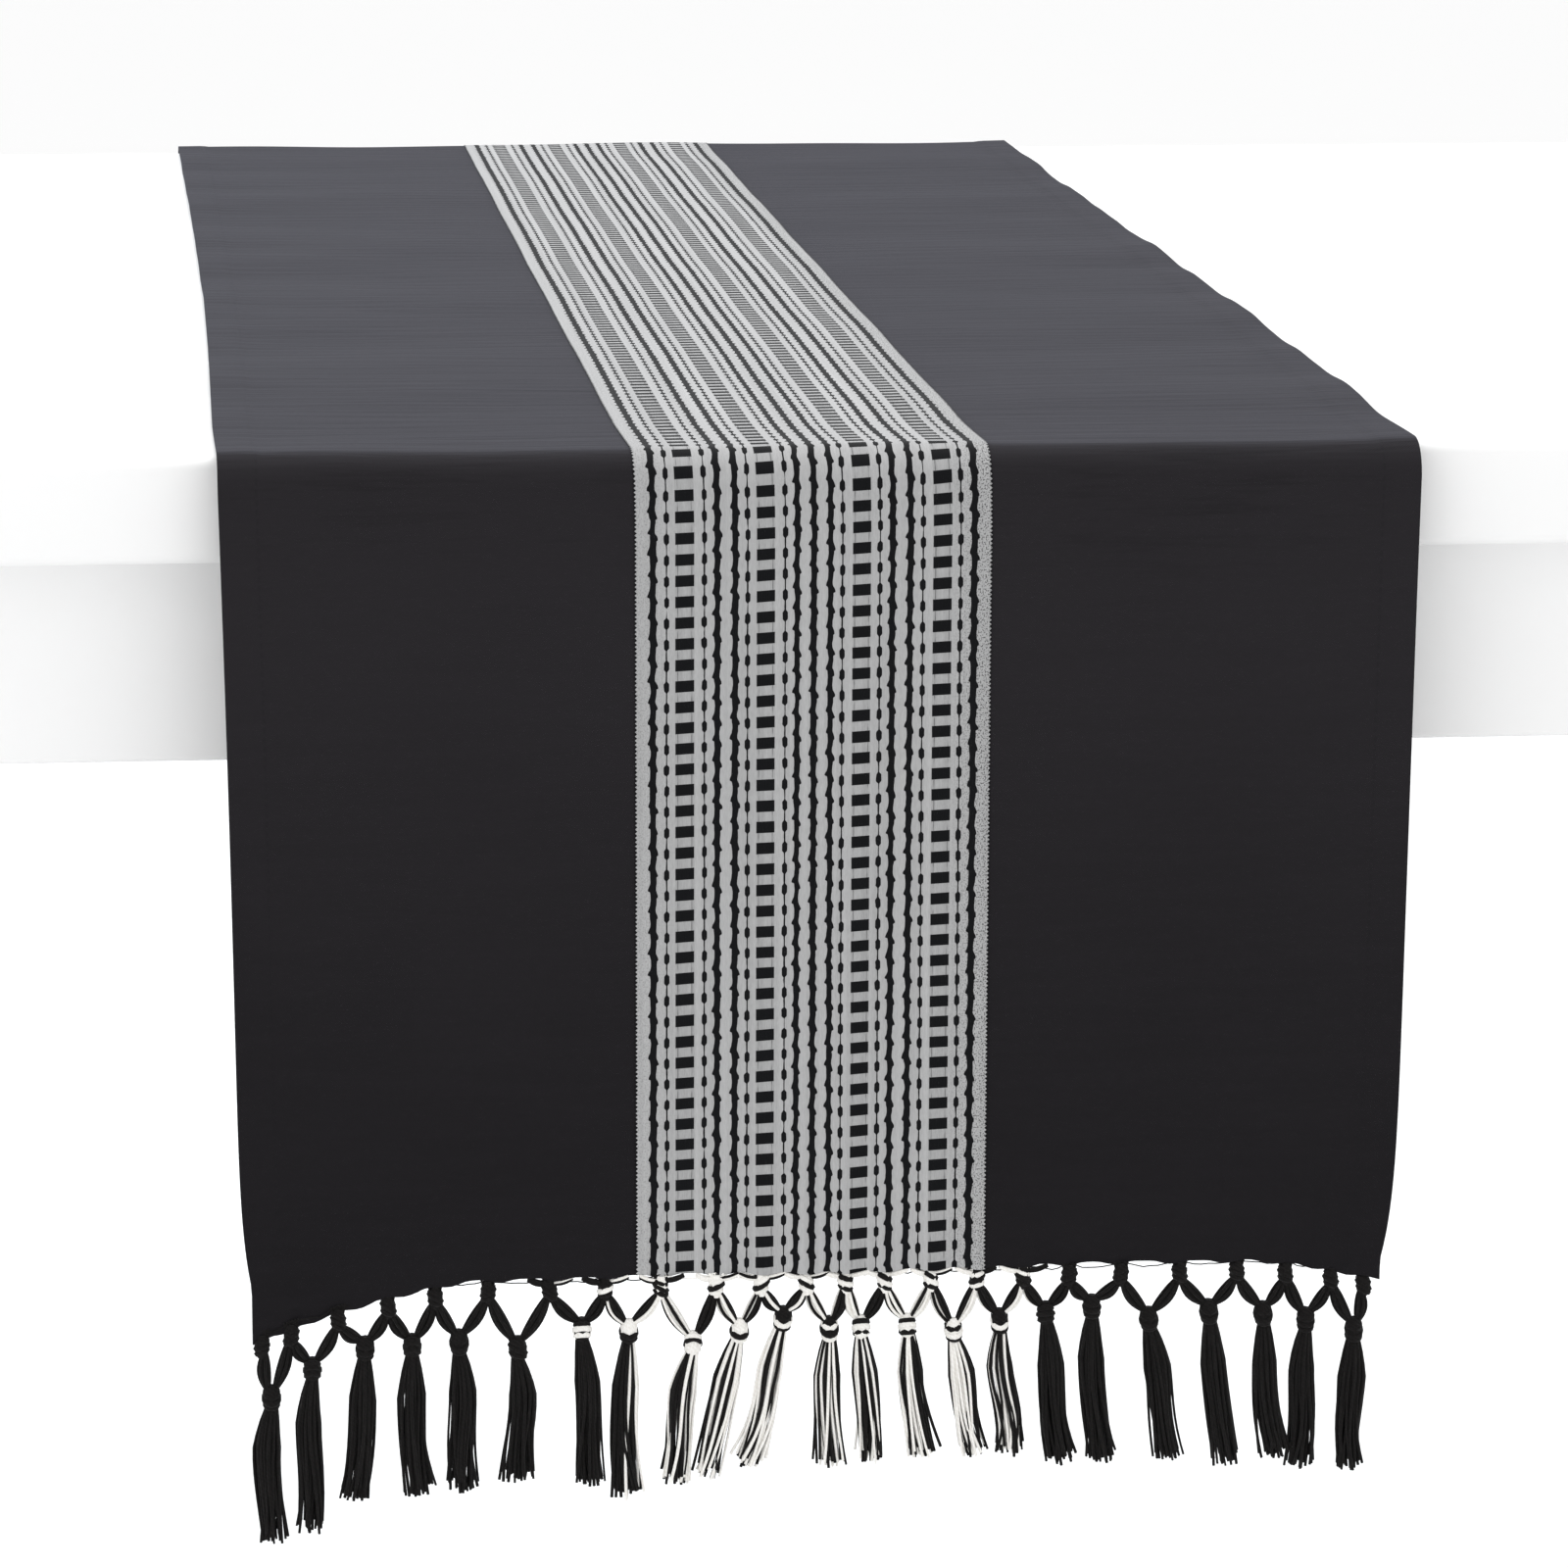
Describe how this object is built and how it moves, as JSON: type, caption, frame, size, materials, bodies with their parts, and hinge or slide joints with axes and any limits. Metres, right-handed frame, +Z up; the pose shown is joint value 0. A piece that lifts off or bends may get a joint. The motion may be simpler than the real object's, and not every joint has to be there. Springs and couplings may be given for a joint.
{
  "type": "table runner",
  "caption": "Long woven cotton table runner draped over a table, black with a white patterned band down its middle and knotted tassels at both ends.",
  "frame": {"origin": "on the table top, under the middle of the runner, where the underside of the cloth rests", "axes": "+X across the runner to the right as seen from the front, +Y along it towards the back of the table, +Z up"},
  "size_m": [0.406, 1.0092, 0.3735],
  "materials": {
    "black_cotton": "matt plain-woven cotton, black with a slight blue-grey sheen",
    "band_cotton": "matt white warp yarns floating over black in ladders, beads and wavy lines",
    "fringe_yarn": "matt black cotton yarn, loosely twisted",
    "mixed_yarn": "matt black and off-white cotton yarns, loosely twisted"
  },
  "bodies": {
    "root": {"top_ground_left": "black_cotton", "top_band": "band_cotton", "top_ground_right": "black_cotton"},
    "front_drop": {"front_drop_ground_left": "black_cotton", "front_drop_band": "band_cotton", "front_drop_ground_right": "black_cotton", "front_fringe_net": "fringe_yarn"},
    "back_drop": {"back_drop_ground_left": "black_cotton", "back_drop_band": "band_cotton", "back_drop_ground_right": "black_cotton", "back_fringe_net": "fringe_yarn"},
    "front_tassel_01": {"front_tassel_01": "fringe_yarn"},
    "front_tassel_02": {"front_tassel_02": "fringe_yarn"},
    "front_tassel_03": {"front_tassel_03": "fringe_yarn"},
    "front_tassel_04": {"front_tassel_04": "fringe_yarn"},
    "front_tassel_05": {"front_tassel_05": "fringe_yarn"},
    "front_tassel_06": {"front_tassel_06": "fringe_yarn"},
    "front_tassel_07": {"front_tassel_07": "fringe_yarn"},
    "front_tassel_08": {"front_tassel_08": "fringe_yarn"},
    "front_tassel_09": {"front_tassel_09": "mixed_yarn"},
    "front_tassel_10": {"front_tassel_10": "mixed_yarn"},
    "front_tassel_11": {"front_tassel_11": "mixed_yarn"},
    "front_tassel_12": {"front_tassel_12": "mixed_yarn"},
    "front_tassel_13": {"front_tassel_13": "mixed_yarn"},
    "front_tassel_14": {"front_tassel_14": "mixed_yarn"},
    "front_tassel_15": {"front_tassel_15": "mixed_yarn"},
    "front_tassel_16": {"front_tassel_16": "fringe_yarn"},
    "front_tassel_17": {"front_tassel_17": "fringe_yarn"},
    "front_tassel_18": {"front_tassel_18": "fringe_yarn"},
    "front_tassel_19": {"front_tassel_19": "fringe_yarn"},
    "front_tassel_20": {"front_tassel_20": "fringe_yarn"},
    "front_tassel_21": {"front_tassel_21": "fringe_yarn"},
    "front_tassel_22": {"front_tassel_22": "fringe_yarn"},
    "front_tassel_23": {"front_tassel_23": "fringe_yarn"},
    "back_tassel_01": {"back_tassel_01": "fringe_yarn"},
    "back_tassel_02": {"back_tassel_02": "fringe_yarn"},
    "back_tassel_03": {"back_tassel_03": "fringe_yarn"},
    "back_tassel_04": {"back_tassel_04": "fringe_yarn"},
    "back_tassel_05": {"back_tassel_05": "fringe_yarn"},
    "back_tassel_06": {"back_tassel_06": "fringe_yarn"},
    "back_tassel_07": {"back_tassel_07": "fringe_yarn"},
    "back_tassel_08": {"back_tassel_08": "fringe_yarn"},
    "back_tassel_09": {"back_tassel_09": "mixed_yarn"},
    "back_tassel_10": {"back_tassel_10": "mixed_yarn"},
    "back_tassel_11": {"back_tassel_11": "mixed_yarn"},
    "back_tassel_12": {"back_tassel_12": "mixed_yarn"},
    "back_tassel_13": {"back_tassel_13": "mixed_yarn"},
    "back_tassel_14": {"back_tassel_14": "mixed_yarn"},
    "back_tassel_15": {"back_tassel_15": "mixed_yarn"},
    "back_tassel_16": {"back_tassel_16": "mixed_yarn"},
    "back_tassel_17": {"back_tassel_17": "fringe_yarn"},
    "back_tassel_18": {"back_tassel_18": "fringe_yarn"},
    "back_tassel_19": {"back_tassel_19": "fringe_yarn"},
    "back_tassel_20": {"back_tassel_20": "fringe_yarn"},
    "back_tassel_21": {"back_tassel_21": "fringe_yarn"},
    "back_tassel_22": {"back_tassel_22": "fringe_yarn"},
    "back_tassel_23": {"back_tassel_23": "fringe_yarn"}
  },
  "joints": [
    {"name": "front_drop_fold", "type": "hinge", "parent": "root", "child": "front_drop", "pos_m": [0, -0.5015, -0.0082], "axis": [-1, 0, 0], "range_deg": [0, 90]},
    {"name": "back_drop_fold", "type": "hinge", "parent": "root", "child": "back_drop", "pos_m": [0, 0.5015, -0.0082], "axis": [1, 0, 0], "range_deg": [0, 90]},
    {"name": "front_tassel_01_swing", "type": "hinge", "parent": "front_drop", "child": "front_tassel_01", "pos_m": [-0.187, -0.5005, -0.32192], "axis": [1, 0, 0], "range_deg": [-90, 90]},
    {"name": "front_tassel_02_swing", "type": "hinge", "parent": "front_drop", "child": "front_tassel_02", "pos_m": [-0.173, -0.5005, -0.31243], "axis": [1, 0, 0], "range_deg": [-90, 90]},
    {"name": "front_tassel_03_swing", "type": "hinge", "parent": "front_drop", "child": "front_tassel_03", "pos_m": [-0.155, -0.5005, -0.30552], "axis": [1, 0, 0], "range_deg": [-90, 90]},
    {"name": "front_tassel_04_swing", "type": "hinge", "parent": "front_drop", "child": "front_tassel_04", "pos_m": [-0.139, -0.5005, -0.30512], "axis": [1, 0, 0], "range_deg": [-90, 90]},
    {"name": "front_tassel_05_swing", "type": "hinge", "parent": "front_drop", "child": "front_tassel_05", "pos_m": [-0.123, -0.5005, -0.30408], "axis": [1, 0, 0], "range_deg": [-90, 90]},
    {"name": "front_tassel_06_swing", "type": "hinge", "parent": "front_drop", "child": "front_tassel_06", "pos_m": [-0.103, -0.5005, -0.307], "axis": [1, 0, 0], "range_deg": [-90, 90]},
    {"name": "front_tassel_07_swing", "type": "hinge", "parent": "front_drop", "child": "front_tassel_07", "pos_m": [-0.081, -0.5005, -0.301], "axis": [1, 0, 0], "range_deg": [-90, 90]},
    {"name": "front_tassel_08_swing", "type": "hinge", "parent": "front_drop", "child": "front_tassel_08", "pos_m": [-0.065, -0.5005, -0.302], "axis": [1, 0, 0], "range_deg": [-90, 90]},
    {"name": "front_tassel_09_swing", "type": "hinge", "parent": "front_drop", "child": "front_tassel_09", "pos_m": [-0.043, -0.5005, -0.307], "axis": [1, 0, 0], "range_deg": [-90, 90]},
    {"name": "front_tassel_10_swing", "type": "hinge", "parent": "front_drop", "child": "front_tassel_10", "pos_m": [-0.027, -0.5005, -0.303], "axis": [1, 0, 0], "range_deg": [-90, 90]},
    {"name": "front_tassel_11_swing", "type": "hinge", "parent": "front_drop", "child": "front_tassel_11", "pos_m": [-0.012, -0.5005, -0.299], "axis": [1, 0, 0], "range_deg": [-90, 90]},
    {"name": "front_tassel_12_swing", "type": "hinge", "parent": "front_drop", "child": "front_tassel_12", "pos_m": [0.004, -0.5005, -0.303], "axis": [1, 0, 0], "range_deg": [-90, 90]},
    {"name": "front_tassel_13_swing", "type": "hinge", "parent": "front_drop", "child": "front_tassel_13", "pos_m": [0.015, -0.5005, -0.303], "axis": [1, 0, 0], "range_deg": [-90, 90]},
    {"name": "front_tassel_14_swing", "type": "hinge", "parent": "front_drop", "child": "front_tassel_14", "pos_m": [0.031, -0.5005, -0.303], "axis": [1, 0, 0], "range_deg": [-90, 90]},
    {"name": "front_tassel_15_swing", "type": "hinge", "parent": "front_drop", "child": "front_tassel_15", "pos_m": [0.047, -0.5005, -0.305], "axis": [1, 0, 0], "range_deg": [-90, 90]},
    {"name": "front_tassel_16_swing", "type": "hinge", "parent": "front_drop", "child": "front_tassel_16", "pos_m": [0.063, -0.5005, -0.302], "axis": [1, 0, 0], "range_deg": [-90, 90]},
    {"name": "front_tassel_17_swing", "type": "hinge", "parent": "front_drop", "child": "front_tassel_17", "pos_m": [0.079, -0.5005, -0.3], "axis": [1, 0, 0], "range_deg": [-90, 90]},
    {"name": "front_tassel_18_swing", "type": "hinge", "parent": "front_drop", "child": "front_tassel_18", "pos_m": [0.095, -0.5005, -0.298], "axis": [1, 0, 0], "range_deg": [-90, 90]},
    {"name": "front_tassel_19_swing", "type": "hinge", "parent": "front_drop", "child": "front_tassel_19", "pos_m": [0.115, -0.5005, -0.303], "axis": [1, 0, 0], "range_deg": [-90, 90]},
    {"name": "front_tassel_20_swing", "type": "hinge", "parent": "front_drop", "child": "front_tassel_20", "pos_m": [0.136, -0.5005, -0.301], "axis": [1, 0, 0], "range_deg": [-90, 90]},
    {"name": "front_tassel_21_swing", "type": "hinge", "parent": "front_drop", "child": "front_tassel_21", "pos_m": [0.155, -0.5005, -0.30218], "axis": [1, 0, 0], "range_deg": [-90, 90]},
    {"name": "front_tassel_22_swing", "type": "hinge", "parent": "front_drop", "child": "front_tassel_22", "pos_m": [0.17, -0.5005, -0.30483], "axis": [1, 0, 0], "range_deg": [-90, 90]},
    {"name": "front_tassel_23_swing", "type": "hinge", "parent": "front_drop", "child": "front_tassel_23", "pos_m": [0.187, -0.5005, -0.30876], "axis": [1, 0, 0], "range_deg": [-90, 90]},
    {"name": "back_tassel_01_swing", "type": "hinge", "parent": "back_drop", "child": "back_tassel_01", "pos_m": [0.187, 0.5005, -0.23095], "axis": [-1, 0, 0], "range_deg": [-90, 90]},
    {"name": "back_tassel_02_swing", "type": "hinge", "parent": "back_drop", "child": "back_tassel_02", "pos_m": [0.173, 0.5005, -0.22379], "axis": [-1, 0, 0], "range_deg": [-90, 90]},
    {"name": "back_tassel_03_swing", "type": "hinge", "parent": "back_drop", "child": "back_tassel_03", "pos_m": [0.155, 0.5005, -0.21971], "axis": [-1, 0, 0], "range_deg": [-90, 90]},
    {"name": "back_tassel_04_swing", "type": "hinge", "parent": "back_drop", "child": "back_tassel_04", "pos_m": [0.139, 0.5005, -0.222], "axis": [-1, 0, 0], "range_deg": [-90, 90]},
    {"name": "back_tassel_05_swing", "type": "hinge", "parent": "back_drop", "child": "back_tassel_05", "pos_m": [0.123, 0.5005, -0.223], "axis": [-1, 0, 0], "range_deg": [-90, 90]},
    {"name": "back_tassel_06_swing", "type": "hinge", "parent": "back_drop", "child": "back_tassel_06", "pos_m": [0.103, 0.5005, -0.226], "axis": [-1, 0, 0], "range_deg": [-90, 90]},
    {"name": "back_tassel_07_swing", "type": "hinge", "parent": "back_drop", "child": "back_tassel_07", "pos_m": [0.081, 0.5005, -0.22], "axis": [-1, 0, 0], "range_deg": [-90, 90]},
    {"name": "back_tassel_08_swing", "type": "hinge", "parent": "back_drop", "child": "back_tassel_08", "pos_m": [0.065, 0.5005, -0.221], "axis": [-1, 0, 0], "range_deg": [-90, 90]},
    {"name": "back_tassel_09_swing", "type": "hinge", "parent": "back_drop", "child": "back_tassel_09", "pos_m": [0.043, 0.5005, -0.226], "axis": [-1, 0, 0], "range_deg": [-90, 90]},
    {"name": "back_tassel_10_swing", "type": "hinge", "parent": "back_drop", "child": "back_tassel_10", "pos_m": [0.027, 0.5005, -0.222], "axis": [-1, 0, 0], "range_deg": [-90, 90]},
    {"name": "back_tassel_11_swing", "type": "hinge", "parent": "back_drop", "child": "back_tassel_11", "pos_m": [0.012, 0.5005, -0.218], "axis": [-1, 0, 0], "range_deg": [-90, 90]},
    {"name": "back_tassel_12_swing", "type": "hinge", "parent": "back_drop", "child": "back_tassel_12", "pos_m": [-0.004, 0.5005, -0.222], "axis": [-1, 0, 0], "range_deg": [-90, 90]},
    {"name": "back_tassel_13_swing", "type": "hinge", "parent": "back_drop", "child": "back_tassel_13", "pos_m": [-0.015, 0.5005, -0.222], "axis": [-1, 0, 0], "range_deg": [-90, 90]},
    {"name": "back_tassel_14_swing", "type": "hinge", "parent": "back_drop", "child": "back_tassel_14", "pos_m": [-0.031, 0.5005, -0.222], "axis": [-1, 0, 0], "range_deg": [-90, 90]},
    {"name": "back_tassel_15_swing", "type": "hinge", "parent": "back_drop", "child": "back_tassel_15", "pos_m": [-0.047, 0.5005, -0.224], "axis": [-1, 0, 0], "range_deg": [-90, 90]},
    {"name": "back_tassel_16_swing", "type": "hinge", "parent": "back_drop", "child": "back_tassel_16", "pos_m": [-0.063, 0.5005, -0.221], "axis": [-1, 0, 0], "range_deg": [-90, 90]},
    {"name": "back_tassel_17_swing", "type": "hinge", "parent": "back_drop", "child": "back_tassel_17", "pos_m": [-0.079, 0.5005, -0.219], "axis": [-1, 0, 0], "range_deg": [-90, 90]},
    {"name": "back_tassel_18_swing", "type": "hinge", "parent": "back_drop", "child": "back_tassel_18", "pos_m": [-0.095, 0.5005, -0.217], "axis": [-1, 0, 0], "range_deg": [-90, 90]},
    {"name": "back_tassel_19_swing", "type": "hinge", "parent": "back_drop", "child": "back_tassel_19", "pos_m": [-0.115, 0.5005, -0.222], "axis": [-1, 0, 0], "range_deg": [-90, 90]},
    {"name": "back_tassel_20_swing", "type": "hinge", "parent": "back_drop", "child": "back_tassel_20", "pos_m": [-0.136, 0.5005, -0.22], "axis": [-1, 0, 0], "range_deg": [-90, 90]},
    {"name": "back_tassel_21_swing", "type": "hinge", "parent": "back_drop", "child": "back_tassel_21", "pos_m": [-0.155, 0.5005, -0.22171], "axis": [-1, 0, 0], "range_deg": [-90, 90]},
    {"name": "back_tassel_22_swing", "type": "hinge", "parent": "back_drop", "child": "back_tassel_22", "pos_m": [-0.17, 0.5005, -0.22438], "axis": [-1, 0, 0], "range_deg": [-90, 90]},
    {"name": "back_tassel_23_swing", "type": "hinge", "parent": "back_drop", "child": "back_tassel_23", "pos_m": [-0.187, 0.5005, -0.22795], "axis": [-1, 0, 0], "range_deg": [-90, 90]}
  ]
}
